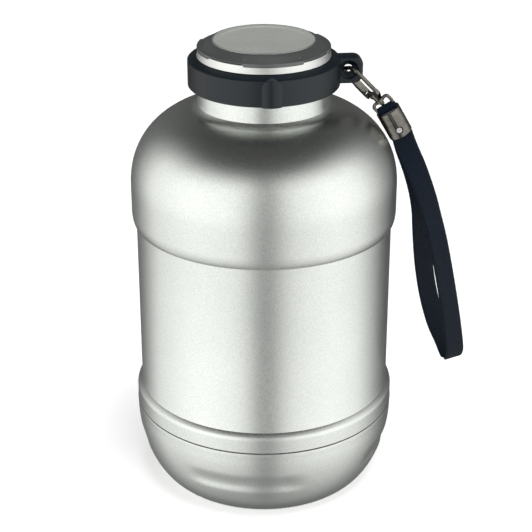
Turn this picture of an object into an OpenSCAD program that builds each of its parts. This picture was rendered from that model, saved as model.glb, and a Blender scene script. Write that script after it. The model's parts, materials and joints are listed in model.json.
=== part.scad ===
// Insulated water jug with a screw-on base cup, a screw lid, a swivelling carry collar and a wrist strap.
// Millimetres, +Z up, origin at the middle of the face that the jug stands on. The strap is on the +X side.

/* [Body] */
// Radius of the shell's band and of the base cup's rim
body_r = 70; // [69:0.5:71]
// Radius of the narrower waist
waist_r = 67.4; // [66.5:0.1:68]
// Radius of the shoulder below the dome
shoulder_r = 69.7; // [69.3:0.1:70]
// Height of the band's lower edge, where the base cup meets it
band_z = 45.5; // [45.5:0.1:46]
// Height at which the shoulder starts to curve in
dome_z = 169.6; // [168:0.1:171]
// Height of the dome above that
dome_h = 43; // [42:0.5:44]
// Thickness of the outer steel
shell_t = 0.9; // [0.8:0.1:1]
// Gap from the outside of the shell to the inner flask
flask_inset = 4; // [3.5:0.1:4.5]
// Thickness of the inner flask's steel
flask_t = 0.8; // [0.7:0.1:0.9]

/* [Neck and lid] */
// Outer radius of the plain neck
neck_r = 34.1; // [34:0.1:34.3]
// Radius of the threaded neck ring, without its thread
finish_r = 31; // [30.8:0.1:31.1]
// Rise of the lid in one turn
lid_lead = 8; // [8:1:9]
// Outer radius of the lid's skirt, inside the collar
skirt_r = 33.8; // [33.7:0.05:33.85]
// Radius of the lid's top disc
disc_r = 26.5; // [26.3:0.1:26.8]
// Number of finger scoops round the lid
lid_scoops = 4; // [3:1:5]

/* [Base cup] */
// Radius of the foot
foot_r = 51.9; // [50:0.1:54]
// Drop of the base cup in one turn
base_lead = 6; // [6:0.5:7]
// Number of finger scoops round the base cup
base_scoops = 4; // [3:1:4]
// Angle that each scoop covers
scoop_span = 56; // [40:2:60]
// Depth of a base scoop at its lower lip
scoop_d = 1.8; // [1:0.1:2]

/* [Carry collar] */
// Outer radius of the collar
collar_r = 38.9; // [38.6:0.1:39.2]
// Direction of the lug, from +X towards +Y
lug_az = 6; // [0:1:10]
// Distance of the lug's hole from the jug's axis
lug_hole_x = 43; // [42.8:0.1:43.4]
// Radius of the lug's hole near its faces
lug_hole_r = 4.2; // [4.1:0.1:4.4]
// Radius of the hole's waist, in the middle of the lug
lug_waist_r = 2.5; // [2.4:0.1:3]
// Thickness of the lug
lug_t = 7.6; // [7:0.1:7.7]

/* [Clasp and strap] */
// Radius of the hook's wire
wire_r = 1.05; // [0.9:0.05:1.1]
// Distance between the middles of the hook's spine and its nose
hook_w = 12.2; // [12:0.1:12.6]
// Slope of the clasp below the horizontal
clasp_drop = 46.5; // [44:0.5:48]
// Turn of the hook about its own length
hook_roll = 25; // [22:1:32]
// Distance from the lug's hole to the swivel loop's bar
bar_x = 30.5; // [30:0.1:31.5]
// Slope of the strap's sleeve below the horizontal
sleeve_drop = 60.5; // [58:0.5:61]
// Outer radius of the strap's sleeve
sleeve_r = 6.4; // [6.2:0.1:6.5]
// Length of the strap's sleeve
sleeve_l = 15; // [14:0.5:15.5]
// Width of the strap's webbing
web_w = 11.5; // [10:0.5:12]
// Thickness of the strap's webbing
web_t = 1.6; // [1.2:0.1:1.6]

/* [Hidden] */
$fn = 96;

slip = 0.05;             // gap of a close fit
loose = 0.3;             // gap between parts that move past each other
dome_r0 = 21;            // radius at which the dome would be flat
dome_pow = 2 / 2.22;     // the dome's fullness
neck_fillet_r = 37;      // radius at which the dome turns up into the neck
neck_z = 222.6;          // top of the plain neck
lip_z = 240;             // top of the neck's lip
mouth_r = 29.2;          // inner radius of the mouth
flask_neck_r = mouth_r + flask_t;
flask_floor_z = 55;      // underside of the flask's floor
flask_corner = 14;       // rounding of the flask's floor
bottom_z = 49.5;         // underside of the shell's bottom plate

crease_z = 54.4;         // where the band ends in the waist
crease_h = 2.8;          // height of the rounding there
waist_top_z = 156.2;     // where the waist has widened to the shoulder's radius
waist_flare = 7;         // height of that widening

cup_h = band_z - 0.6;    // top of the base cup
cup_curve_h = 40;        // height of the base cup's curved part
cup_pow = 2 / 1.73;      // the base cup's fullness
cup_t = 1;               // thickness of the base cup's steel
foot_z = 0.5;            // gap under the steel foot, which the pad fills
pad_r = 47;
pad_z = 1.6;             // top of the pad
spigot_r = 62.4;         // radius of the base thread ring, without its thread
liner_r = 64.2;          // bore of the base cup's liner
scoop_lip_z = 25;        // height of a base scoop's lower lip
scoop_az = -99;          // direction of the first base scoop

collar_z0 = 223;         // underside of the collar
collar_edge_z = 236.3;   // top of the collar's outer face
collar_top_z = 238;      // top of the collar at its inner edge
lug_z = 229.8;           // height of the lug's hole
lug_end_x = 50.6;
lug_h = 14.6;
lug_round = 4.8;
lug_chamfer = 1.2;

skirt_z = 223.2;         // underside of the lid's skirt
skirt_bore_r = 32.7;
plate_z = 241.2;         // underside of the lid's top plate
grip_z = 242.6;          // top of that plate
top_z = 246.5;           // top of the lid
plug_z = 231;            // underside of the lid's plug
plug_r = 27.6;
lid_scoop_az = -81;      // direction of the first lid scoop

gate_pin_x = 20.6;       // the gate's pivot, down the clasp from the lug's hole
gate_pin_y = 5.7;        // and across it
gate_pin_r = 0.6;
gate_w = 3.4;            // width of the gate's channel outside
gate_bore_w = 2.6;       // and inside
hook_plate_t = 2.1;      // thickness of the hook's base
spring_well = 0.65;      // half the thickness of the base between its spring wells
stud_r = 0.9;            // the swivel's stem
loop_x = 25;             // distance from the lug's hole to the middle of the swivel loop's top

screw_x = 12;            // distance from the swivel loop's bar to the sleeve's screw
web_az = 30;             // direction of the webbing's width round the loop
// The webbing's middle line, from the sleeve down the front leg, round the bend and up the back leg
strap_route = [
    [71.7, 6.6, 193.4], [72.5, 6.7, 192], [75.4, 6.3, 185], [79.8, 5.6, 175.5], [83.8, 5, 165.5],
    [87.4, 4.4, 155.5], [90.5, 3.7, 145], [93.2, 3, 135], [95.5, 2.4, 125], [97.6, 2, 115], [99.6, 1.8, 105],
    [101.5, 1.8, 95], [103.3, 2.1, 85], [104.9, 2.8, 75.5], [105.9, 3.8, 68], [106, 5, 64],
    [105.4, 6.4, 61.6], [104.6, 8, 61], [103.6, 9.6, 62.2], [102.3, 10.6, 65.4], [99.8, 11.4, 71.5],
    [96, 12, 80], [92.8, 12.4, 90], [90.2, 12.5, 100.5], [88.4, 12.4, 110], [86.9, 12, 120],
    [85.8, 11.5, 130], [84.9, 10.8, 140], [84.1, 10.2, 150], [82.3, 9.7, 161], [79, 9.2, 173],
    [75, 8.8, 184], [72.5, 8.5, 192], [71.7, 8.4, 193.4]];

steel = [0.78, 0.79, 0.78];
black = [0.16, 0.18, 0.2];
gunmetal = [0.42, 0.42, 0.4];

// Points of a quarter of a superellipse about [cx, cz], from angle a0 to a1, both 0 to 90 degrees
function quarter(cx, cz, rx, rz, pow_, a0, a1, n) =
    [for (i = [0 : n]) let (a = a0 + (a1 - a0) * i / n)
        [cx + rx * pow(cos(a), pow_), cz + rz * pow(sin(a), pow_)]];

// The dome with semi-axes rx and rz, from the shoulder to radius r1, and a fillet up to the neck's radius rn
function dome(rx, rz, r1, rn) =
    let (a1 = acos(pow((r1 - dome_r0) / rx, 1 / dome_pow)))
    let (top = [r1, dome_z + rz * pow(sin(a1), dome_pow)])
    let (slope = rz / rx * pow(sin(a1), dome_pow - 1) * cos(a1) / (pow(cos(a1), dome_pow - 1) * sin(a1)))
    let (lean = atan(slope), fr = (r1 - rn) / (1 - sin(lean)))
    concat(quarter(dome_r0, dome_z, rx, rz, dome_pow, 0, a1, 22),
        [for (i = [1 : 8]) let (a = lean + (90 - lean) * i / 8)
            [rn + fr - fr * sin(a), top[1] + fr * (cos(lean) - cos(a))]]);

// The shell's outline up to the neck, w inside its outer face
function shell_side(w) = concat(
    [[body_r - w, band_z]],
    quarter(waist_r - w, crease_z - w, body_r - waist_r, crease_h, 1, 0, 90, 8),
    [for (i = [0 : 8]) let (a = 90 - 90 * i / 8)
        [waist_r - w + (shoulder_r - waist_r) * cos(a), waist_top_z + w - waist_flare * sin(a)]],
    dome(shoulder_r - dome_r0 - w, dome_h - w, neck_fillet_r, neck_r - w));

// The base cup's outline, w inside its outer face
function cup_side(w) = concat(
    [for (i = [0 : 16]) let (a = 81.6 * (1 - i / 16))
        [foot_r + (body_r - foot_r) * pow(cos(a), cup_pow) - w,
         max(cup_curve_h * (1 - pow(sin(a), cup_pow)), foot_z) + w * pow(sin(a), 2)]],
    [[body_r + 0.2 - w, cup_h]]);

// One or more helical ridges round the Z axis: root radius, crest radius, pitch line height at angle 0
module ridge(root, crest, z, lead, starts, turns, w_root, w_crest, a0 = 0) {
    steps = ceil(40 * turns);
    fade = 3;
    for (s = [0 : starts - 1]) {
        pts = [for (i = [0 : steps])
            let (a = a0 + 360 * turns * i / steps + 360 * s / starts)
            let (zc = z + lead * turns * i / steps)
            let (k = min(1, 0.25 + 0.75 * min(i, steps - i) / fade), rc = root + (crest - root) * k)
            let (ri = root - sign(crest - root) * 0.3)
            for (q = [[ri, -w_root / 2], [rc, -w_crest / 2], [rc, w_crest / 2], [ri, w_root / 2]])
                [q[0] * cos(a), q[0] * sin(a), zc + q[1]]];
        flip = crest > root;
        side = [for (i = [0 : steps - 1]) for (j = [0 : 3]) let (k = (j + 1) % 4)
            for (f = [[4 * i + j, 4 * i + k, 4 * i + 4 + j], [4 * i + k, 4 * i + 4 + k, 4 * i + 4 + j]])
                flip ? f : [f[2], f[1], f[0]]];
        ends = [[0, 3, 2], [0, 2, 1], [4 * steps, 4 * steps + 1, 4 * steps + 2],
            [4 * steps, 4 * steps + 2, 4 * steps + 3]];
        polyhedron(pts, concat(side, [for (f = ends) flip ? f : [f[2], f[1], f[0]]]), convexity = 6);
    }
}

module tube(r_out, r_in, z0, z1) {
    translate([0, 0, z0])
        difference() {
            cylinder(r = r_out, h = z1 - z0);
            translate([0, 0, -1]) cylinder(r = r_in, h = z1 - z0 + 2);
        }
}

module lathe(points) {
    rotate_extrude($fn = 180) polygon(points);
}

// ---- bottle ----

module outer_shell() {
    color(steel)
        lathe(concat(
            shell_side(0),
            [[neck_r, neck_z], [finish_r + slip, neck_z], [finish_r + slip, neck_z - shell_t]],
            [[neck_r - shell_t, neck_z - shell_t]],
            [for (i = [len(shell_side(shell_t)) - 1 : -1 : 0]) shell_side(shell_t)[i]]));
}

// Outline of the flask: its outer face with w = 0, its inner face with w = flask_t
function flask_side(w) = concat(
    [[0, flask_floor_z + w]],
    [for (i = [0 : 8]) let (a = 90 * (1 - i / 8))
        [waist_r - flask_inset - flask_corner + (flask_corner - w) * cos(a),
         flask_floor_z + flask_corner - (flask_corner - w) * sin(a)]],
    dome(waist_r - flask_inset - dome_r0 - w, dome_h - 4.5 - w, 33, flask_neck_r - w));

module inner_flask() {
    inner = flask_side(flask_t);
    color(steel)
        lathe(concat(
            flask_side(0),
            [[flask_neck_r, lip_z - flask_t], [finish_r, lip_z - flask_t]],
            [[finish_r, lip_z], [mouth_r, lip_z]],
            [for (i = [len(inner) - 1 : -1 : 0]) inner[i]]));
}

module neck_ring() {
    color(steel) {
        tube(finish_r, flask_neck_r + slip, 216, lip_z - flask_t);
        ridge(finish_r, finish_r + 1.3, 226, lid_lead, 2, 0.9, 2, 1.2);
    }
}

module shell_bottom() {
    color(steel)
        lathe([[0, bottom_z + 1.6], [52, bottom_z + 1.6], [58, bottom_z],
            [body_r - shell_t - slip, bottom_z],
            [body_r - shell_t - slip, bottom_z + shell_t], [58.5, bottom_z + shell_t],
            [52.5, bottom_z + 1.6 + shell_t], [0, bottom_z + 1.6 + shell_t]]);
}

module vacuum_plug() {
    color(gunmetal)
        translate([0, 0, bottom_z + 0.8]) cylinder(r = 6, h = 0.8);
}

module base_thread_ring() {
    color(black) {
        lathe([[spigot_r - 2.4, 33.5], [spigot_r, 33.5], [spigot_r, band_z + 0.3], [66, band_z + 0.3],
            [body_r - shell_t - slip, 47], [body_r - shell_t - slip, bottom_z], [spigot_r - 2.4, bottom_z]]);
        ridge(spigot_r, spigot_r + 1.3, 35.2, base_lead, 1, 1, 2, 1.2);
    }
}

// ---- base cup ----

module base_gasket() {
    color(black) tube(body_r - 0.7, liner_r + 1.4, cup_h + slip, band_z - slip);
}

// The finger scoops, cut w deeper into the cup
module scoops(w) {
    span = scoop_span + 2 * asin(w / body_r);
    for (i = [0 : base_scoops - 1])
        rotate([0, 0, scoop_az - span / 2 + 360 * i / base_scoops])
            rotate_extrude(angle = span)
                polygon([[body_r + 3, 39.5 + w], [body_r - w, 39.5 + w], [69.2 - w, 33],
                    [68.1 - scoop_d - w, 28], [67.8 - scoop_d - w, 26.4 - w],
                    [67.7, scoop_lip_z - w - 0.6], [body_r + 3, scoop_lip_z - w - 4]]);
}

module base_shell() {
    side = cup_side(cup_t);
    color(steel)
        difference() {
            lathe(concat([[0, pad_z], [pad_r + 0.2, pad_z], [pad_r + 0.2, foot_z]], cup_side(0),
                [[0, cup_h]]));
            scoops(0);
            difference() {
                lathe(concat([[0, pad_z + cup_t], [pad_r + 1, pad_z + cup_t]], side,
                    [[body_r + 0.2 - cup_t, cup_h + 1], [0, cup_h + 1]]));
                scoops(cup_t);
            }
        }
}

module base_liner() {
    t = cup_t + 0.1;
    color([0.3, 0.32, 0.33]) {
        difference() {
            lathe(concat([[0, pad_z + t], [pad_r + 1, pad_z + t]], cup_side(t), [[0, cup_h]]));
            scoops(t);
            lathe(concat([[0, 4.4], [50, 4.4]],
                [for (p = cup_side(t + 1.9)) if (p[1] > 4.5 && p[0] < liner_r - 0.6) p],
                [[liner_r - 0.6, 30], [liner_r, 31], [liner_r, cup_h + 1], [0, cup_h + 1]]));
        }
        ridge(liner_r, liner_r - 1.2, 35.2, base_lead, 1, 1, 2, 1.2, 180);
    }
}

module base_pad() {
    color(black)
        difference() {
            cylinder(r = pad_r, h = pad_z);
            for (r = [20 : 8 : 44]) translate([0, 0, -0.1]) tube(r + 0.6, r - 0.6, 0, 0.5);
        }
}

// ---- lid ----

module lid_gasket() {
    color([0.85, 0.85, 0.83]) tube(finish_r, plug_r + 0.4, lip_z + slip, plate_z - slip);
}

module lid_liner() {
    color(black) {
        lathe([[0, plug_z], [plug_r - 1, plug_z], [plug_r, plug_z + 1], [plug_r, plate_z],
            [skirt_bore_r, plate_z], [skirt_bore_r, skirt_z + 1], [skirt_bore_r + 0.4, skirt_z],
            [33.3, skirt_z], [33.3, skirt_z + 1.2], [skirt_r, skirt_z + 1.2], [skirt_r, 237.9],
            [skirt_r - 0.9, 237.9], [skirt_r - 0.9, grip_z - 0.8], [32.2, grip_z], [plug_r - 1.4, grip_z],
            [plug_r - 1.4, plug_z + 1.4], [0, plug_z + 1.4]]);
        ridge(skirt_bore_r, skirt_bore_r - 1.2, 226, lid_lead, 2, 0.9, 2, 1.2, 90);
    }
}

module lid_foam() {
    color([0.9, 0.88, 0.8])
        lathe([[0, plug_z + 1.5], [plug_r - 1.5, plug_z + 1.5], [plug_r - 1.5, grip_z], [24.2, grip_z],
            [24.2, 244.9], [0, 244.9]]);
}

module lid_band() {
    color(steel)
        lathe([[skirt_r - 0.85, 238.2], [34, 238.2], [34.2, 238.5], [33.5, 242.2], [33.3, 242.4],
            [32.6, 242.4], [skirt_r - 0.85, 241.8]]);
}

module lid_grip_ring() {
    color([0.32, 0.33, 0.32])
        difference() {
            union() {
                lathe([[24.3, grip_z + slip], [32.9, grip_z + slip], [33.1, 242.9], [27, top_z - 0.3],
                    [disc_r + slip, top_z - 0.2], [disc_r + slip, 245], [24.3, 245]]);
                for (i = [0 : lid_scoops - 1])
                    rotate([0, 0, lid_scoop_az - 30 + 360 * i / lid_scoops])
                        rotate_extrude(angle = 60)
                            polygon([[31, grip_z + slip], [33.6, grip_z + slip], [33.9, 243], [33.3, 243.5],
                                [31, 244.3]]);
            }
            for (i = [0 : lid_scoops - 1])
                rotate([0, 0, lid_scoop_az - 27 + 360 * i / lid_scoops])
                    rotate_extrude(angle = 54)
                        polygon([[28.6, top_z + 1], [28.6, 245.2], [30.3, 243.7], [32.6, 243.5],
                            [34.6, 244.2], [34.6, top_z + 1]]);
        }
}

module lid_rim() {
    color([0.8, 0.8, 0.78])
        lathe([[25.8, 245.05], [disc_r, 245.05], [disc_r, top_z], [disc_r - 0.2, top_z + 0.2],
            [25.8, top_z + 0.1]]);
}

module lid_disc() {
    color([0.6, 0.6, 0.58])
        lathe([[0, 245.05], [25.75, 245.05], [25.75, top_z], [22.8, top_z], [22.3, top_z - 0.3],
            [0, top_z - 0.3]]);
}

module collar_clip() {
    color([0.6, 0.6, 0.6]) tube(35.2, 33.35, skirt_z, skirt_z + 1.2);
}

// ---- collar ----

module lug_outline(inset) {
    r = lug_round - inset;
    x1 = lug_end_x - lug_round;
    z1 = lug_h / 2 - lug_round;
    polygon(concat([[35.9, -lug_h / 2 + inset]],
        [for (s = [-1, 1]) for (i = [0 : 6]) let (a = s < 0 ? -90 + 15 * i : 15 * i)
            [x1 + r * cos(a), s * z1 + r * sin(a)]],
        [[35.9, lug_h / 2 - inset]]));
}

// Flared at the faces and narrow in the middle, so that the hook's wire can lie across it at an angle
module lug_hole() {
    face = lug_t / 2;
    waist_h = 1.5;
    rotate_extrude()
        polygon([[0, -face - 1], [lug_hole_r + 2, -face - 1], [lug_hole_r, 1 - face],
            [lug_waist_r, -waist_h], [lug_waist_r, waist_h],
            [lug_hole_r, face - 1], [lug_hole_r + 2, face + 1], [0, face + 1]]);
}

module carry_collar() {
    color(black)
        difference() {
            union() {
                lathe([[35.7, collar_z0], [collar_r - 0.6, collar_z0], [collar_r, collar_z0 + 0.6],
                    [collar_r, collar_edge_z], [38.4, collar_edge_z + 0.5], [34.5, collar_top_z],
                    [skirt_r + loose, collar_top_z - 0.2], [skirt_r + loose, 224.9], [35.7, 224.9]]);
                rotate([0, 0, lug_az])
                    translate([0, 0, lug_z])
                        rotate([90, 0, 0])
                            hull() {
                                linear_extrude(lug_t - 2 * lug_chamfer, center = true) lug_outline(0);
                                linear_extrude(lug_t, center = true) lug_outline(lug_chamfer);
                            }
                rotate([0, 0, lug_az - 90]) collar_rib();
            }
            rotate([0, 0, lug_az])
                translate([lug_hole_x, 0, lug_z]) rotate([90, 0, 0]) lug_hole();
        }
}

// A rounded upright rib with an arched top, along +X
module collar_rib() {
    rib_r = 8.5;
    rib_w = 10;
    arch_z = 232.4;
    difference() {
        intersection() {
            translate([collar_r + 1.3 - rib_r, 0, collar_z0]) cylinder(r = rib_r, h = 20);
            union() {
                translate([30, -rib_w / 2, collar_z0]) cube([12, rib_w, arch_z - collar_z0]);
                translate([30, 0, arch_z]) rotate([0, 90, 0]) cylinder(r = rib_w / 2, h = 12);
            }
        }
        translate([0, 0, collar_z0 - 1]) cylinder(r = 36.5, h = 20);
    }
}

// ---- clasp ----

// From the middle of the lug's hole: X runs down the clasp, Y across it, at the given roll about X
module clasp_frame(roll) {
    rotate([0, 0, lug_az])
        translate([lug_hole_x, 0, lug_z])
            rotate([0, clasp_drop, 0]) rotate([roll, 0, 0]) children();
}

module rod_x(x0, x1, y, r) {
    translate([x0, y, 0]) rotate([0, 90, 0]) cylinder(r = r, h = x1 - x0);
}

// A quarter bend of wire about [x, y], starting at angle a0 from +X
module bend(x, y, a0, bend_r, r) {
    translate([x, y, 0])
        rotate([0, 0, a0])
            rotate_extrude(angle = 90) translate([bend_r, 0]) circle(r = r, $fn = 48);
}

module clasp_hook() {
    bend_r = 3.6;
    side = hook_w / 2;
    nose_x = 11;
    color(gunmetal)
        clasp_frame(-hook_roll) difference() {
            union() {
                rod_x(bend_r, 18.6, -side, wire_r);
                bend(bend_r, -side + bend_r, 180, bend_r, wire_r);
                translate([0, -side + bend_r, 0])
                    rotate([-90, 0, 0]) cylinder(r = wire_r, h = hook_w - 2 * bend_r);
                bend(bend_r, side - bend_r, 90, bend_r, wire_r);
                rod_x(bend_r, nose_x, side, wire_r);
                translate([nose_x, side, 0]) sphere(r = wire_r, $fn = 32);
                linear_extrude(hook_plate_t, center = true)
                    polygon([[17.6, -7.1], [19.4, -7.1], [23.8, -2.6], [23.8, 2.4], [21.4, 7], [19.8, 7],
                        [19.3, 6.2], [19.3, 4.8], [19.2, -2.6], [17.6, -5.1]]);
                rod_x(19.6, 23.8, 0, 2);
            }
            translate([gate_pin_x, gate_pin_y, 0]) cylinder(r = gate_pin_r, h = 10, center = true);
            for (s = [-1, 1])
                translate([gate_pin_x, gate_pin_y, s * (spring_well + 1)])
                    cylinder(r = 1.7, h = 2, center = true);
            rod_x(20, 26, 0, stud_r);
        }
}

module gate_pin() {
    color(steel)
        clasp_frame(-hook_roll)
            translate([gate_pin_x, gate_pin_y, 0])
                cylinder(r = gate_pin_r, h = gate_w + 0.2, center = true);
}

module gate_spring() {
    color(steel)
        clasp_frame(-hook_roll)
            for (s = [-1, 1])
                translate([gate_pin_x, gate_pin_y, s * (spring_well + gate_bore_w / 2) / 2]) difference() {
                    cylinder(r = 1.25, h = 0.45, center = true);
                    cylinder(r = 0.75, h = 2, center = true);
                }
}

// A channel that is open towards the nose, which rests in its end
module clasp_gate() {
    color([0.55, 0.55, 0.53])
        clasp_frame(-hook_roll) difference() {
            linear_extrude(gate_w, center = true)
                polygon([[8.6, 4.5], [18.6, 4.5], [20.4, 4.3], [21.8, 4.9], [22.2, 6], [21.8, 7.1],
                    [20.4, 7.5], [12, 7.4], [8.6, 6.4]]);
            linear_extrude(gate_bore_w, center = true)
                polygon([[8, 4.95], [18.3, 4.95], [18.3, 4], [23, 4], [23, 9], [8, 9]]);
            translate([gate_pin_x, gate_pin_y, 0]) cylinder(r = gate_pin_r + slip, h = 10, center = true);
        }
}

module swivel_stud() {
    color(gunmetal)
        clasp_frame(0) {
            rod_x(20, 26.4, 0, stud_r);
            translate([26.9, 0, 0]) sphere(r = 1.3, $fn = 48);
        }
}

module swivel_loop() {
    r = 0.9;
    half_w = 4.75;
    corner = 1.6;
    color(gunmetal)
        clasp_frame(-90) difference() {
            union() {
                for (x = [loop_x, bar_x])
                    translate([x, corner - half_w, 0])
                        rotate([-90, 0, 0]) cylinder(r = r, h = 2 * (half_w - corner));
                for (s = [-1, 1]) {
                    rod_x(loop_x + corner, bar_x - corner, s * half_w, r);
                    bend(loop_x + corner, s * (half_w - corner), s > 0 ? 90 : 180, corner, r);
                    bend(bar_x - corner, s * (half_w - corner), s > 0 ? 0 : 270, corner, r);
                }
                rod_x(loop_x - 0.9, loop_x + 0.85, 0, 2.2);
            }
            rod_x(20, bar_x - 2, 0, stud_r + slip);
        }
}

// ---- strap ----

// From the middle of the swivel loop's bar: X runs down the sleeve, Y across the webbing, Z out of its face
module sleeve_frame() {
    rotate([0, 0, lug_az])
        translate([lug_hole_x, 0, lug_z])
            rotate([0, clasp_drop, 0])
                translate([bar_x, 0, 0])
                    rotate([0, sleeve_drop - clasp_drop, 0]) rotate([90, 0, 0]) children();
}

module strap_fold() {
    fold_end = sleeve_l + 1.2;
    color(black)
        difference() {
            union() {
                clasp_frame(90)
                    translate([bar_x, -3.1, 0]) rotate([-90, 0, 0]) cylinder(r = 2, h = 6.2);
                sleeve_frame()
                    linear_extrude(2.4, center = true)
                        polygon([[0.4, -3.1], [3.4, -5.2], [fold_end, -5.2], [fold_end, 5.2], [3.4, 5.2],
                            [0.4, 3.1]]);
            }
            clasp_frame(90)
                translate([bar_x, -9, 0]) rotate([-90, 0, 0]) cylinder(r = 0.9 + slip, h = 18);
        }
}

module strap_sleeve() {
    slit_end = screw_x - 0.8;
    color(gunmetal)
        sleeve_frame() difference() {
            rod_x(1.2, 1.2 + sleeve_l, 0, sleeve_r);
            rod_x(0, 3 + sleeve_l, 0, sleeve_r - 0.7);
            translate([0, -0.3, 0]) cube([slit_end, 0.6, 10]);
            translate([screw_x, 0, 0]) cylinder(r = 2.05, h = 10);
        }
}

module sleeve_plug() {
    r = sleeve_r - 0.75;
    color(black)
        sleeve_frame() difference() {
            rod_x(1.9, 0.6 + sleeve_l, 0, r);
            translate([0, -5.25, -1.25]) cube([20, 10.5, 2.5]);
            translate([screw_x, 0, 2]) cylinder(r = 1.05, h = 10);
        }
}

module sleeve_screw() {
    color(steel)
        sleeve_frame() translate([screw_x, 0, 0]) difference() {
            union() {
                translate([0, 0, 2]) cylinder(r = 1, h = 3.7);
                translate([0, 0, sleeve_r - 0.7]) cylinder(r = 1.45, h = 0.75);
            }
            for (a = [0, 90])
                rotate([0, 0, a]) translate([-0.9, -0.2, sleeve_r - 0.35]) cube([1.8, 0.4, 2]);
        }
}

function unit(v) = v / norm(v);

module wrist_strap() {
    n = len(strap_route);
    color(black)
        polyhedron(
            [for (i = [0 : n - 1])
                let (p = strap_route[i])
                let (t = unit(strap_route[min(i + 1, n - 1)] - strap_route[max(i - 1, 0)]))
                let (k = min(1, (strap_route[0][2] - p[2]) / 45))
                let (az = lug_az + (web_az - lug_az) * k, ref = [cos(az), sin(az), 0])
                let (u = unit(ref - (ref * t) * t), v = cross(t, u))
                for (c = [[-1, -1], [1, -1], [1, 1], [-1, 1]])
                    p + u * c[0] * web_w / 2 + v * c[1] * web_t / 2],
            concat(
                [[0, 1, 2], [0, 2, 3]],
                [for (i = [0 : n - 2]) for (j = [0 : 3]) let (k = (j + 1) % 4)
                    for (f = [[4 * i + j, 4 * i + 4 + j, 4 * i + k],
                        [4 * i + k, 4 * i + 4 + j, 4 * i + 4 + k]]) f],
                [[4 * n - 4, 4 * n - 2, 4 * n - 3], [4 * n - 4, 4 * n - 1, 4 * n - 2]]),
            convexity = 8);
}

outer_shell();
inner_flask();
neck_ring();
shell_bottom();
vacuum_plug();
base_thread_ring();
base_gasket();
base_shell();
base_liner();
base_pad();
lid_gasket();
lid_liner();
lid_foam();
lid_band();
lid_grip_ring();
lid_rim();
lid_disc();
collar_clip();
carry_collar();
clasp_hook();
gate_pin();
gate_spring();
clasp_gate();
swivel_stud();
swivel_loop();
strap_fold();
strap_sleeve();
sleeve_plug();
sleeve_screw();
wrist_strap();
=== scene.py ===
"""Looks for the insulated water jug: materials, the webbing, the soft-edged shells, studio and camera."""

import json
import math

import bpy
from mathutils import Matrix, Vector


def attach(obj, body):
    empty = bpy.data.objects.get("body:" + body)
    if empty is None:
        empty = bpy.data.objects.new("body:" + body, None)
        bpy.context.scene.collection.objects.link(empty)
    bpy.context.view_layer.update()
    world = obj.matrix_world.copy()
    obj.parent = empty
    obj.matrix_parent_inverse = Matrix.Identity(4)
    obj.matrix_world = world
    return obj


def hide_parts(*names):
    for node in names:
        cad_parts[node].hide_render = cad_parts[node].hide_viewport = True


MM = 0.001

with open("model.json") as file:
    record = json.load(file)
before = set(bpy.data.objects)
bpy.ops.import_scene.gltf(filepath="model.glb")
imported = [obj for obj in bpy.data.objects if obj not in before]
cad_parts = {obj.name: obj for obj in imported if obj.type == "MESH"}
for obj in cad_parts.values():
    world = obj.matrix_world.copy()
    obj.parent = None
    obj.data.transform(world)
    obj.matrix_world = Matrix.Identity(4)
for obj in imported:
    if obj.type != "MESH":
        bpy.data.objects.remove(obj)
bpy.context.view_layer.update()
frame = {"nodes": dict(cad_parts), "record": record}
nodes = frame["nodes"]


# ---- Camera: the photograph's angle ----

CAMERA_AT = (0.00108, -0.7369, 0.4626)
CAMERA_AIM = (0.00108, 0.0, 0.1202)
CAMERA_LENS = 101.96
SENSOR_W = 36
CAMERA_NEAR = 0.01


def add_object(name, data):
    """A new object in the scene."""
    made = bpy.data.objects.new(name, data)
    bpy.context.scene.collection.objects.link(made)
    return made


def point_at(thing, at, aim):
    """Stand a camera or a light at one point, facing another."""
    thing.location = at
    thing.rotation_euler = (Vector(aim) - Vector(at)).to_track_quat("-Z", "Y").to_euler()


camera = add_object("camera", bpy.data.cameras.new("camera"))
point_at(camera, CAMERA_AT, CAMERA_AIM)
camera.data.lens = CAMERA_LENS
camera.data.sensor_width = SENSOR_W
camera.data.clip_start = CAMERA_NEAR
bpy.context.scene.camera = camera


# ---- Shader helpers ----

MIX_FACTOR, MIX_A, MIX_B, MIX_RESULT = 0, 6, 7, 2  # A Mix node's sockets for colours

materials = {}


def new_material(name, color, metallic=0.0, coat=0.0, sheen=0.0):
    """A new entry in materials: returns its node tree and its Principled shader."""
    material = materials[name] = bpy.data.materials.new(name)
    material.use_nodes = True
    tree = material.node_tree
    shader = tree.nodes["Principled BSDF"]
    shader.inputs["Base Color"].default_value = (*color, 1)
    shader.inputs["Metallic"].default_value = metallic
    shader.inputs["Coat Weight"].default_value = coat
    shader.inputs["Sheen Weight"].default_value = sheen
    return tree, shader


def node(tree, kind, inputs=None, **settings):
    """A shader node; inputs maps a socket to a value or to another node's output."""
    made = tree.nodes.new("ShaderNode" + kind)
    for key, value in settings.items():
        setattr(made, key, value)
    for key, value in (inputs or {}).items():
        if isinstance(value, bpy.types.NodeSocket):
            tree.links.new(value, made.inputs[key])
        else:
            made.inputs[key].default_value = value
    return made


def calc(tree, operation, *values):
    """A Math node's result for values or other nodes' outputs."""
    return node(tree, "Math", dict(enumerate(values)), operation=operation).outputs[0]


def place(tree, stretch=(1, 1, 1)):
    """Object coordinates in metres, stretched."""
    coordinates = node(tree, "TexCoord")
    mapping = node(tree, "Mapping", {"Vector": coordinates.outputs["Object"], "Scale": stretch})
    return mapping.outputs["Vector"]


def noise(tree, at, scale, detail=2.0):
    made = node(tree, "TexNoise", {"Vector": at, "Scale": scale, "Detail": detail, "Roughness": 0.5})
    return made.outputs["Fac"]


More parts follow.
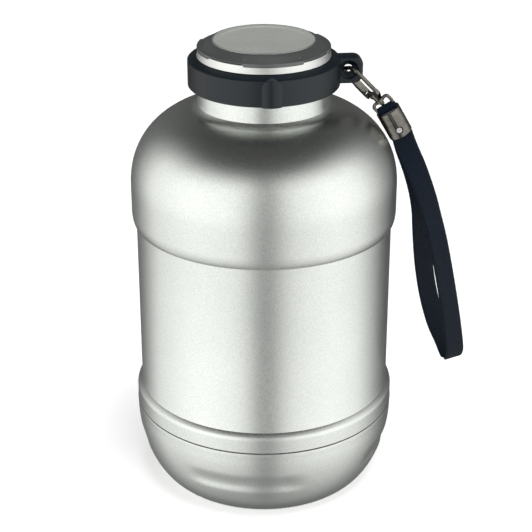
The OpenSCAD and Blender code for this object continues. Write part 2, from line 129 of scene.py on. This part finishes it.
def spread(tree, value, low, high, a=0.3, b=0.7):
    """value from a..b mapped smoothly to low..high."""
    inputs = {"Value": value, "From Min": a, "From Max": b, "To Min": low, "To Max": high}
    made = node(tree, "MapRange", inputs, interpolation_type="SMOOTHSTEP")
    return made.outputs["Result"]


def shade(color, by):
    """A colour made darker (by < 1) or lighter."""
    return tuple(c * by for c in color)


def tint(tree, factor, color_a, color_b):
    """The colour from a to b; each is three numbers or another node's output."""
    a, b = (c if isinstance(c, bpy.types.NodeSocket) else (*c, 1) for c in (color_a, color_b))
    made = node(tree, "Mix", data_type="RGBA", inputs={MIX_FACTOR: factor, MIX_A: a, MIX_B: b})
    return made.outputs[MIX_RESULT]


def paint(tree, shader, color, roughness):
    """Lead a colour and a roughness, both nodes' outputs, to the shader."""
    tree.links.new(color, shader.inputs["Base Color"])
    tree.links.new(roughness, shader.inputs["Roughness"])


def bump(tree, shader, height, distance, before=None):
    """Lead a bump to the shader, on top of the normal before; returns the bumped normal."""
    inputs = {"Height": height, "Distance": distance, "Strength": 1.0}
    if before is not None:
        inputs["Normal"] = before
    made = node(tree, "Bump", inputs)
    tree.links.new(made.outputs["Normal"], shader.inputs["Normal"])
    return made.outputs["Normal"]


def rounded(tree, radius, samples=6):
    """The normal with edges rounded to that radius."""
    return node(tree, "Bevel", {"Radius": radius}, samples=samples).outputs["Normal"]


def painted_edge_highlight(tree):
    """1 along an edge's crest and 0 on flats: the mask for a painted highlight along the edges."""
    plain = node(tree, "NewGeometry").outputs["Normal"]
    soft_normal = rounded(tree, 0.4 * MM, samples=4)
    dot = node(tree, "VectorMath", {0: plain, 1: soft_normal}, operation="DOT_PRODUCT").outputs["Value"]
    return spread(tree, dot, 1.0, 0.0, 0.86, 0.995)


# ---- Materials, one per slot ----
# A noise's scale is roughly its grains per metre, and a bump's distance is its depth.

def make_blasted_steel(name, light, dark, rough):
    """Bead-blasted steel under a satin lacquer: a fine sparkling grain over faint cloudiness."""
    tree, shader = new_material(name, light, metallic=1.0)
    at = place(tree)
    fine = noise(tree, at, 1500)
    sparkle = calc(tree, "MULTIPLY", spread(tree, fine, 0, 1, 0.35, 0.65), 0.75)
    cloud = spread(tree, noise(tree, at, 22, detail=3.0), 0, 0.25)
    paint(tree, shader, tint(tree, calc(tree, "ADD", sparkle, cloud), dark, light),
          spread(tree, noise(tree, at, 900), rough - 0.03, rough + 0.03))
    bump(tree, shader, fine, 0.03 * MM)


def make_turned_steel(name, color, rough):
    """Turned or rolled steel: fine circular lines round the jug's axis."""
    tree, shader = new_material(name, color, metallic=1.0)
    lines = noise(tree, place(tree, stretch=(40, 40, 4000)), 1.0, detail=3.0)
    grain = noise(tree, place(tree), 2200, detail=1.0)
    paint(tree, shader, tint(tree, spread(tree, lines, 0, 1), shade(color, 0.93), color),
          spread(tree, lines, rough - 0.04, rough + 0.05))
    lined = bump(tree, shader, lines, 0.01 * MM)
    bump(tree, shader, grain, 0.01 * MM, before=lined)


def make_plastic(name, color, rough, coat=0.0):
    """Moulded plastic with a fine spark-eroded texture and a painted highlight that makes its edges a little
    brighter.
    """
    tree, shader = new_material(name, color, coat=coat)
    shader.inputs["Coat Roughness"].default_value = 0.25
    at = place(tree)
    fine = noise(tree, at, 2400)
    cloud = spread(tree, noise(tree, at, 60, detail=3.0), 0, 1)
    cloudy = tint(tree, cloud, shade(color, 0.9), shade(color, 1.08))
    # Painted highlight: the colour is lightened 1.35 times along each edge's crest.
    paint(tree, shader, tint(tree, painted_edge_highlight(tree), cloudy, shade(color, 1.35)),
          spread(tree, fine, rough - 0.05, rough + 0.06))
    bump(tree, shader, fine, 0.02 * MM, before=rounded(tree, 0.4 * MM))


def make_painted_metal(name, color, rough):
    """Metallic grey paint: fine flakes under a satin lacquer."""
    tree, shader = new_material(name, color, metallic=0.35, coat=0.15)
    shader.inputs["Coat Roughness"].default_value = 0.3
    at = place(tree)
    flakes = noise(tree, at, 2800, detail=1.0)
    cloud = spread(tree, noise(tree, at, 45, detail=3.0), 0, 0.2)
    mixed = calc(tree, "ADD", spread(tree, flakes, 0, 0.8, 0.35, 0.65), cloud)
    paint(tree, shader, tint(tree, mixed, shade(color, 0.8), shade(color, 1.15)),
          spread(tree, flakes, rough - 0.04, rough + 0.05))
    bump(tree, shader, flakes, 0.02 * MM)


def make_gunmetal(name, light, dark):
    """Plated gunmetal, polished, smeared a little darker and smoother in patches."""
    tree, shader = new_material(name, light, metallic=1.0)
    at = place(tree)
    smear = noise(tree, at, 260, detail=4.0)
    paint(tree, shader, tint(tree, spread(tree, smear, 0, 1), dark, light), spread(tree, smear, 0.11, 0.17))
    bump(tree, shader, noise(tree, at, 1800), 0.01 * MM, before=rounded(tree, 0.25 * MM))


def make_rubber(name, color, rough):
    """Moulded rubber with a dusty sheen."""
    tree, shader = new_material(name, color, sheen=0.15)
    at = place(tree)
    fine = noise(tree, at, 1500, detail=3.0)
    cloud = spread(tree, noise(tree, at, 90, detail=3.0), 0, 1)
    paint(tree, shader, tint(tree, cloud, shade(color, 0.8), shade(color, 1.25)),
          spread(tree, fine, rough - 0.08, rough + 0.05))
    bump(tree, shader, fine, 0.03 * MM)


def make_foam(name, light, dark):
    """Cream insulating foam, cells showing where it is cut."""
    tree, shader = new_material(name, light)
    cells = node(tree, "TexVoronoi", {"Vector": place(tree), "Scale": 900}).outputs["Distance"]
    tree.links.new(tint(tree, spread(tree, cells, 0, 1, 0.1, 0.6), dark, light), shader.inputs["Base Color"])
    shader.inputs["Roughness"].default_value = 0.9
    bump(tree, shader, cells, 0.2 * MM)


WEAVE_PITCH = 0.95 * MM
HERRINGBONE = 1.4
FIBRE_STRETCH = (900, 9000, 1)


def make_webbing(name, light, dark):
    """Tight nylon webbing: yarns cross in a herringbone, read from the ribbon's own length and width."""
    tree, shader = new_material(name, light, sheen=0.03)
    shader.inputs["Sheen Roughness"].default_value = 0.45
    shader.inputs["Specular IOR Level"].default_value = 0.18
    uv = node(tree, "UVMap", uv_map="ribbon").outputs["UV"]
    split = node(tree, "SeparateXYZ", {"Vector": uv}).outputs
    turns_per_m = 2 * math.pi / WEAVE_PITCH
    ribs = calc(tree, "SINE", calc(tree, "MULTIPLY", split["Y"], turns_per_m))
    phase = calc(tree, "MULTIPLY", ribs, HERRINGBONE)
    picks = calc(tree, "SINE", calc(tree, "ADD", calc(tree, "MULTIPLY", split["X"], turns_per_m), phase))
    yarn = calc(tree, "MULTIPLY", ribs, picks)
    fibres = noise(tree, node(tree, "Mapping", {"Vector": uv, "Scale": FIBRE_STRETCH}).outputs["Vector"], 1.0)
    height = calc(tree, "MULTIPLY_ADD", fibres, 0.5, yarn)
    paint(tree, shader, tint(tree, spread(tree, height, 0, 1, -0.6, 1.2), dark, light),
          spread(tree, fibres, 0.55, 0.75))
    bump(tree, shader, height, 0.16 * MM)


make_blasted_steel("satin_steel", (0.95, 0.965, 0.93), (0.79, 0.82, 0.785), 0.31)
make_turned_steel("plain_steel", (0.72, 0.72, 0.70), 0.3)
make_turned_steel("bright_steel", (0.93, 0.935, 0.91), 0.4)
make_painted_metal("disc_steel", (0.4, 0.415, 0.39), 0.4)
make_plastic("black_plastic", (0.002, 0.005, 0.008), 0.35)
make_plastic("grey_plastic", (0.045, 0.049, 0.047), 0.32, coat=1.0)
make_rubber("silicone", (0.05, 0.05, 0.055), 0.55)
make_rubber("rubber_pad", (0.03, 0.03, 0.033), 0.7)
make_foam("foam", (0.85, 0.82, 0.74), (0.6, 0.57, 0.49))
make_gunmetal("gunmetal", (0.24, 0.227, 0.208), (0.15, 0.141, 0.129))
make_webbing("webbing", (0.003, 0.008, 0.017), (0.001, 0.003, 0.007))

for part in frame["record"]["subparts"]:
    cad_node = nodes[part["node"]]
    cad_node.data.materials.clear()
    cad_node.data.materials.append(materials[part["material_slot"]])


# ---- Mesh helpers ----

def soft(x, a, b):
    """0 at a, 1 at b, smooth between."""
    t = min(1.0, max(0.0, (x - a) / (b - a)))
    return t * t * (3 - 2 * t)


def new_piece(name, points, faces, slot, body, replaced, uvs=None):
    """A smooth-shaded mesh piece that rides on a body and stands for a CAD node."""
    mesh = bpy.data.meshes.new(name)
    mesh.from_pydata(points, [], faces)
    if uvs is not None:
        layer = mesh.uv_layers.new(name="ribbon")
        for polygon, corners in zip(mesh.polygons, uvs):
            for loop, uv in zip(polygon.loop_indices, corners):
                layer.data[loop].uv = uv
    mesh.update()
    for polygon in mesh.polygons:
        polygon.use_smooth = True
    piece = add_object(name, mesh)
    piece.data.materials.append(materials[slot])
    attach(piece, body)
    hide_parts(replaced)
    return piece


def smooth_path(points, steps):
    """A Catmull-Rom curve through the points, with steps per stretch."""
    points = [Vector(p) for p in points]
    out = []
    for i in range(len(points) - 1):
        p0, p1, p2 = points[max(i - 1, 0)], points[i], points[i + 1]
        p3 = points[min(i + 2, len(points) - 1)]
        for s in range(steps):
            t = s / steps
            out.append(0.5 * (2 * p1 + (p2 - p0) * t + (2 * p0 - 5 * p1 + 4 * p2 - p3) * t * t
                              + (3 * p1 - p0 - 3 * p2 + p3) * t ** 3))
    return out + [points[-1]]


# One face of webbing across its width, from selvedge to selvedge, in halves of its width and thickness
WEB_FACE = [(-1, -0.42), (-0.93, -0.86), (-0.8, -1), (-0.5, -0.94), (0, -0.92), (0.5, -0.94), (0.8, -1),
            (0.93, -0.86), (1, -0.42)]
WEB_OUTLINE = WEB_FACE + [(x, -z) for x, z in reversed(WEB_FACE)]


def ribbon(name, path, side_at, width_at, thick, replaced):
    """Webbing along a path: a flat band with full, rounded selvedges and closed ends."""
    n = len(WEB_OUTLINE)
    girth = [0.0]
    for a, b in zip(WEB_OUTLINE, WEB_OUTLINE[1:] + WEB_OUTLINE[:1]):
        girth.append(girth[-1] + math.hypot((b[0] - a[0]) * width_at(0) / 2, (b[1] - a[1]) * thick / 2))
    points, lengths = [], [0.0]
    for i, p in enumerate(path):
        tangent = (path[min(i + 1, len(path) - 1)] - path[max(i - 1, 0)]).normalized()
        side = side_at(p)
        side = (side - side.dot(tangent) * tangent).normalized()
        up = tangent.cross(side)
        if i:
            lengths.append(lengths[-1] + (p - path[i - 1]).length)
        half_width = width_at(i / (len(path) - 1)) / 2
        points += [p + side * x * half_width + up * z * thick / 2 for x, z in WEB_OUTLINE]
    faces, uvs = [], []
    for i in range(len(path) - 1):
        for j in range(n):
            k = (j + 1) % n
            faces.append((n * i + j, n * i + n + j, n * i + n + k, n * i + k))
            uvs.append([(lengths[i], girth[j]), (lengths[i + 1], girth[j]), (lengths[i + 1], girth[j + 1]),
                        (lengths[i], girth[j + 1])])
    for first, order in ((0, 1), (n * (len(path) - 1), -1)):
        faces.append(tuple(range(first, first + n))[::order])
        uvs.append([(0.0, girth[j]) for j in range(n)][::order])
    return new_piece(name, points, faces, "webbing", "strap", replaced, uvs)


# ---- Wrist strap ----

WEB_W = 11.5 * MM
WEB_T = 1.6 * MM
LUG_TURN = math.radians(6)
WEB_TURN = math.radians(30)
TURN_DROP = 45 * MM
BEND_SHARE = 0.035
BEND_NARROWING = 0.4
STRAP_ROUTE = [Vector(p) * MM for p in (
    (71.7, 6.6, 193.4), (72.5, 6.7, 192), (75.4, 6.3, 185), (79.8, 5.6, 175.5), (83.8, 5, 165.5),
    (87.4, 4.4, 155.5), (90.5, 3.7, 145), (93.2, 3, 135), (95.5, 2.4, 125), (97.6, 2, 115), (99.6, 1.8, 105),
    (101.5, 1.8, 95), (103.3, 2.1, 85), (104.9, 2.8, 75.5), (105.9, 3.8, 68), (106, 5, 64),
    (105.4, 6.4, 61.6), (104.6, 8, 61), (103.6, 9.6, 62.2), (102.3, 10.6, 65.4), (99.8, 11.4, 71.5),
    (96, 12, 80), (92.8, 12.4, 90), (90.2, 12.5, 100.5), (88.4, 12.4, 110), (86.9, 12, 120),
    (85.8, 11.5, 130), (84.9, 10.8, 140), (84.1, 10.2, 150), (82.3, 9.7, 161), (79, 9.2, 173),
    (75, 8.8, 184), (72.5, 8.5, 192), (71.7, 8.4, 193.4))]


def strap_side(p):
    """The webbing's width turns from the sleeve's direction to its own as it hangs."""
    share = min(1, (STRAP_ROUTE[0].z - p.z) / TURN_DROP)
    turn = LUG_TURN + (WEB_TURN - LUG_TURN) * share
    return Vector((math.cos(turn), math.sin(turn), 0))


strap_path = smooth_path(STRAP_ROUTE, 8)
strap_low = min(range(len(strap_path)), key=lambda i: strap_path[i].z) / (len(strap_path) - 1)


def strap_width(share):
    """The webbing's width, with its edges drawn in where it doubles back."""
    near_bend = max(0.0, 1 - abs(share - strap_low) / BEND_SHARE)
    return WEB_W * (1 - BEND_NARROWING * near_bend * near_bend)


strap = ribbon("wrist_webbing", strap_path, strap_side, strap_width, WEB_T, "wrist_strap")


# ---- The webbing's fold round the swivel loop's bar ----

LUG_R = 43 * MM
LUG_Z = 229.8 * MM
CLASP_DROP = math.radians(46.5)
BAR_REACH = 30.5 * MM
SLEEVE_DROP = math.radians(60.5)
FOLD_T = 1.2 * MM
FOLD_R = 1.55 * MM
FOLD_W = 10.6 * MM
FOLD_NARROWING = 4.0 * MM
FOLD_NARROW_SHARE = 0.2
LEG_STOPS = [x * MM for x in (15.5, 12, 8, 5, 3, 1.5)]
LEG_OPEN = 3 * MM
LEG_CLOSED = 0.62

outward = Vector((math.cos(LUG_TURN), math.sin(LUG_TURN), 0))
upward = Vector((0, 0, 1))
down_clasp = outward * math.cos(CLASP_DROP) - upward * math.sin(CLASP_DROP)
bar_at = outward * LUG_R + upward * LUG_Z + down_clasp * BAR_REACH
down_sleeve = outward * math.cos(SLEEVE_DROP) - upward * math.sin(SLEEVE_DROP)
across_web = outward * math.sin(SLEEVE_DROP) + upward * math.cos(SLEEVE_DROP)
out_of_web = down_sleeve.cross(across_web)


def fold_path():
    """Up one leg out of the sleeve, half round the bar, and back down; the legs close up below it."""
    leg = [(x, FOLD_R * (1 if x < LEG_OPEN else LEG_CLOSED)) for x in LEG_STOPS]
    round_bar = [(-FOLD_R * math.sin(a), FOLD_R * math.cos(a)) for a in map(math.radians, range(0, 181, 15))]
    line = leg + round_bar + [(x, -z) for x, z in reversed(leg)]
    return smooth_path([bar_at + down_sleeve * x + out_of_web * z for x, z in line], 4)


def fold_width(share):
    """Full width in the sleeve, drawn in where it passes through the loop."""
    return FOLD_W - FOLD_NARROWING * soft(abs(share - 0.5), FOLD_NARROW_SHARE, 0)


fold = ribbon("webbing_fold", fold_path(), lambda p: across_web, fold_width, FOLD_T, "strap_fold")


# ---- Shells with soft finger scoops, all in millimetres ----

CREASE_ANGLE = math.radians(40)


def turned(name, profile_at, steps, slot, body, replaced):
    """A closed body of revolution whose profile, a loop of (radius, height), varies with the direction."""
    rows = [profile_at(360.0 * i / steps) for i in range(steps)]
    n = len(rows[0])
    points = [(r * math.cos(2 * math.pi * i / steps) * MM, r * math.sin(2 * math.pi * i / steps) * MM, z * MM)
              for i, row in enumerate(rows) for r, z in row]
    faces = [(n * i + j, n * ((i + 1) % steps) + j, n * ((i + 1) % steps) + (j + 1) % n, n * i + (j + 1) % n)
             for i in range(steps) for j in range(n)]
    piece = new_piece(name, points, faces, slot, body, replaced)
    piece.data.set_sharp_from_angle(angle=CREASE_ANGLE)


def off_centre(angle, first, count=4):
    """Degrees from the middle of the nearest of count evenly spaced scoops."""
    gap = 360 / count
    return abs((angle - first + gap / 2) % gap - gap / 2)


def quarter(cx, cz, rx, rz, power, first, last, count):
    """Points of a quarter of a superellipse about (cx, cz), from one angle to another."""
    angles = [math.radians(first + (last - first) * i / count) for i in range(count + 1)]
    return [(cx + rx * math.cos(a) ** power, cz + rz * math.sin(a) ** power) for a in angles]


# The body's outer steel, from the band above the base up to the neck's top
BODY_R = 70
BAND_Z = 45.5
EDGE_Z = 52.2
EDGE_R = 3.4
EDGE_LEAN = 42
LEDGE_W = 0.35
WAIST_R = 67.4
WAIST_TOP_Z = 156.2
WAIST_FLARE = 7
SHOULDER_R = 69.7
DOME_Z = 169.6
DOME_H = 43
DOME_R0 = 21
DOME_FULLNESS = 2 / 2.22
NECK_R = 34.1
NECK_SWELL_R = 38
NECK_SWELL_H = 1.5
NECK_Z = 222.6
SHELL_T = 0.9
FINISH_R = 31


def band_edge():
    """From the band's face over its rounded edge, up a slope and across a thin ledge to the waist."""
    arc = quarter(BODY_R - EDGE_R, EDGE_Z, EDGE_R, EDGE_R, 1, 0, EDGE_LEAN, 10)
    r, z = arc[-1]
    z += (r - WAIST_R - LEDGE_W) / math.tan(math.radians(EDGE_LEAN))
    return [(BODY_R, BAND_Z)] + arc + [(WAIST_R + LEDGE_W, z), (WAIST_R + 0.1, z + 0.15), (WAIST_R, z + 0.45)]


def waist_flare():
    """From the waist out to the shoulder, curving at the top."""
    angles = [math.radians(90 - 90 * i / 16) for i in range(17)]
    return [(WAIST_R + (SHOULDER_R - WAIST_R) * math.cos(a), WAIST_TOP_Z - WAIST_FLARE * math.sin(a))
            for a in angles]


def dome_and_neck():
    """The dome in towards the neck, then a slight swell up to the neck's crisp foot."""
    rx = SHOULDER_R - DOME_R0
    last = math.degrees(math.acos(((NECK_SWELL_R - DOME_R0) / rx) ** (1 / DOME_FULLNESS)))
    dome = quarter(DOME_R0, DOME_Z, rx, DOME_H, DOME_FULLNESS, 0, last, 120)
    (r0, z0), (r1, z1) = dome[-2:]
    slope = (z1 - z0) / (r0 - r1)
    run = NECK_SWELL_R - NECK_R
    steps = [i / 12 for i in range(1, 13)]
    return dome + [(r1 - run * t, z1 + slope * run * t + NECK_SWELL_H * t * t) for t in steps]


def shell_profile(angle):
    """The outer steel as a loop, the same all round: up its face to the neck's top, and down inside."""
    outer = band_edge() + waist_flare() + dome_and_neck() + [(NECK_R, NECK_Z)]
    inner = [(r - SHELL_T, z - (SHELL_T if z > DOME_Z else 0)) for r, z in outer]
    return outer + [(FINISH_R, NECK_Z), (FINISH_R, NECK_Z - SHELL_T)] + inner[::-1]


turned("steel_shell", shell_profile, 256, "satin_steel", "bottle", "outer_shell")

# The base cup's steel, which stands on its pad and meets the band
FOOT_R = 51.9
FOOT_Z = 0.5
FOOT_ANGLE = 81.6
CUP_ROWS = 64
CUP_CURVE_H = 40
CUP_FULLNESS = 2 / 1.73
CUP_TOP = 44.9
CUP_RIM = [(BODY_R + 0.1, 42.5), (BODY_R + 0.2, 44.4), (BODY_R + 0.14, 44.75), (BODY_R - 0.1, CUP_TOP)]
CUP_T = 1.0
CUP_FLOOR_Z = 1.6
PAD_R = 47.2
BASE_SCOOP_FIRST = -99
BASE_SCOOP_DEPTH = 1.0
BASE_SCOOP_ENDS = (18, 31)
BASE_SCOOP_LIP = (18.0, 23.2)
BASE_SCOOP_FADE = (24.0, 31.5)


def cup_profile(angle):
    """The base cup's steel: its curved side with a soft recess, up to a rolled rim, and back down inside."""
    depth = BASE_SCOOP_DEPTH * (1 - soft(off_centre(angle, BASE_SCOOP_FIRST), *BASE_SCOOP_ENDS))
    outer = []
    for i in range(CUP_ROWS + 1):
        a = math.radians(FOOT_ANGLE * (1 - i / CUP_ROWS))
        r = FOOT_R + (BODY_R - FOOT_R) * math.cos(a) ** CUP_FULLNESS
        z = max(CUP_CURVE_H * (1 - math.sin(a) ** CUP_FULLNESS), FOOT_Z)
        outer.append((r - depth * soft(z, *BASE_SCOOP_LIP) * (1 - soft(z, *BASE_SCOOP_FADE)), z))
    outer += CUP_RIM
    inner = [(r - CUP_T, max(z, CUP_FLOOR_Z)) for r, z in outer if 2 < z < 44]
    inner += [(BODY_R - CUP_T + 0.1, CUP_TOP)]
    return [(PAD_R, CUP_FLOOR_Z), (PAD_R, FOOT_Z)] + outer + inner[::-1]


turned("base_cup_shell", cup_profile, 360, "satin_steel", "base", "base_shell")

# The lid's grip ring: its outline (radius, height) away from a scoop, and through the middle of one
LID_SCOOP_FIRST = -81
LID_SCOOP_ENDS = (25.5, 28.5)
GRIP_Z = 242.65
PLAIN_GRIP = [(24.3, GRIP_Z), (32.9, GRIP_Z), (33.2, 242.75), (33.25, 242.9), (33.1, 243.15), (32.6, 243.4),
              (31.8, 243.8), (30.8, 244.3), (29.8, 244.85), (28.8, 245.35), (27.4, 246.1), (26.85, 246.3),
              (26.58, 246.2), (26.55, 245.05), (24.3, 245.05)]
SCOOPED_GRIP = [(24.3, GRIP_Z), (33.8, 241.6), (33.98, 241.7), (34.0, 243.1), (33.85, 243.5), (33.5, 243.5),
                (33.0, 242.9), (31.4, 242.75), (30.9, 242.95), (28.9, 245.6), (27.4, 246.1), (26.85, 246.3),
                (26.58, 246.2), (26.55, 245.05), (24.3, 245.05)]


def grip_profile(angle):
    """The grip ring's outline in one direction, between its plain and its scooped one."""
    share = 1 - soft(off_centre(angle, LID_SCOOP_FIRST), *LID_SCOOP_ENDS)
    return [(r0 + (r1 - r0) * share, z0 + (z1 - z0) * share)
            for (r0, z0), (r1, z1) in zip(PLAIN_GRIP, SCOOPED_GRIP)]


turned("lid_grip", grip_profile, 360, "grey_plastic", "lid", "lid_grip_ring")


# ---- Studio ----

FLOOR_REACH = 40
FLOOR_GLOW = 0.14

# The soft lights that metal sees: degrees round the jug to the right of the camera's side, and strength
STUDIO_ROUND = [(-180, 0.05), (-142, 0.1), (-126, 0.4), (-106, 0.95), (-60, 1.22), (-30, 1.13), (-14, 0.92),
                (-5, 0.22), (7, 0.22), (17, 0.8), (34, 1.04), (62, 1.17), (90, 1.05), (107, 0.62),
                (122, 0.26), (142, 0.06), (180, 0.05)]
# Their tops fade out between two elevations, lower on the left and behind, and their feet dim downwards
TOP_FADE = (22, 60)
TOP_LEAN_X = -4.0
TOP_LEAN_Y = 9.0
FOOT_FADE = (-78, -6)
FOOT_DIM = 0.17
# The dark rest of the studio: strengths, and the elevations between which each fades in or out
CEILING = (0.03, 0.045, 12, 48)
GROUND = (0.1, 0.0, -52, -22)
STUDIO_TINT = (0.99, 1.0, 0.985, 1)
WHITE = (1, 1, 1, 1)


def make_floor():
    """A plain pale floor, far larger than any view, that glows a little and that metal doesn't see."""
    mesh = bpy.data.meshes.new("floor")
    corners = [(x * FLOOR_REACH, y * FLOOR_REACH, 0) for x, y in ((-1, -1), (1, -1), (1, 1), (-1, 1))]
    mesh.from_pydata(corners, [], [(0, 1, 2, 3)])
    floor = add_object("floor", mesh)
    _, shader = new_material("floor", (0.85, 0.85, 0.85))
    shader.inputs["Roughness"].default_value = 0.9
    shader.inputs["Specular IOR Level"].default_value = 0.0
    shader.inputs["Emission Color"].default_value = WHITE
    shader.inputs["Emission Strength"].default_value = FLOOR_GLOW
    floor.data.materials.append(materials["floor"])
    floor.visible_glossy = False


def studio_ramp(tree, share):
    """STUDIO_ROUND's strength at a share of the way round."""
    made = node(tree, "ValToRGB", {"Fac": share})
    ramp = made.color_ramp
    ramp.interpolation = "EASE"
    ramp.elements.remove(ramp.elements[-1])
    for i, (angle, value) in enumerate(STUDIO_ROUND):
        position = angle / 360 + 0.5
        element = ramp.elements[0] if i == 0 else ramp.elements.new(position)
        element.position = position
        element.color = (value, value, value, 1)
    return made.outputs["Color"]


def make_world():
    """A dark studio with two tall soft lights, left and right, and a gap between them in front."""
    world = bpy.data.worlds.new("studio")
    bpy.context.scene.world = world
    world.use_nodes = True
    tree = world.node_tree
    xyz = node(tree, "SeparateXYZ", {"Vector": node(tree, "TexCoord").outputs["Generated"]}).outputs
    turn = calc(tree, "ARCTAN2", xyz["X"], calc(tree, "MULTIPLY", xyz["Y"], -1))
    lights = studio_ramp(tree, calc(tree, "MULTIPLY_ADD", turn, 1 / (2 * math.pi), 0.5))
    rise = calc(tree, "MULTIPLY", calc(tree, "ARCSINE", xyz["Z"]), 180 / math.pi)
    leaning = calc(tree, "MULTIPLY_ADD", xyz["X"], TOP_LEAN_X, rise)
    leaning = calc(tree, "MULTIPLY_ADD", xyz["Y"], TOP_LEAN_Y, leaning)
    top = spread(tree, leaning, 1, 0, *TOP_FADE)
    foot = spread(tree, rise, FOOT_DIM, 1, *FOOT_FADE)
    lit = calc(tree, "MULTIPLY", lights, calc(tree, "MULTIPLY", top, foot))
    dark = calc(tree, "ADD", spread(tree, rise, *CEILING), spread(tree, rise, *GROUND))
    total = calc(tree, "ADD", lit, dark)
    around = node(tree, "Background", {"Color": STUDIO_TINT, "Strength": total})
    backdrop = node(tree, "Background", {"Color": WHITE, "Strength": 1.0})
    seen = node(tree, "LightPath").outputs["Is Camera Ray"]
    mixed = node(tree, "MixShader", {0: seen, 1: around.outputs[0], 2: backdrop.outputs[0]})
    tree.links.new(mixed.outputs[0], tree.nodes["World Output"].inputs["Surface"])


def area_light(name, at, aim, size, power, shadow):
    """A square soft light that the metal doesn't see: the world is what it reflects."""
    light = add_object(name, bpy.data.lights.new(name, "AREA"))
    point_at(light, at, aim)
    light.data.shape = "SQUARE"
    light.data.size = size
    light.data.energy = power
    light.data.use_shadow = shadow
    light.visible_glossy = False


make_floor()
make_world()
area_light("key", at=(0.6, -0.8, 4.6), aim=(0, 0, 0.1), size=2.4, power=165, shadow=True)
area_light("fill", at=(0.2, -1.6, 1.0), aim=(0, 0, 0.15), size=1.0, power=25, shadow=False)
bpy.context.scene.view_settings.view_transform = "Standard"
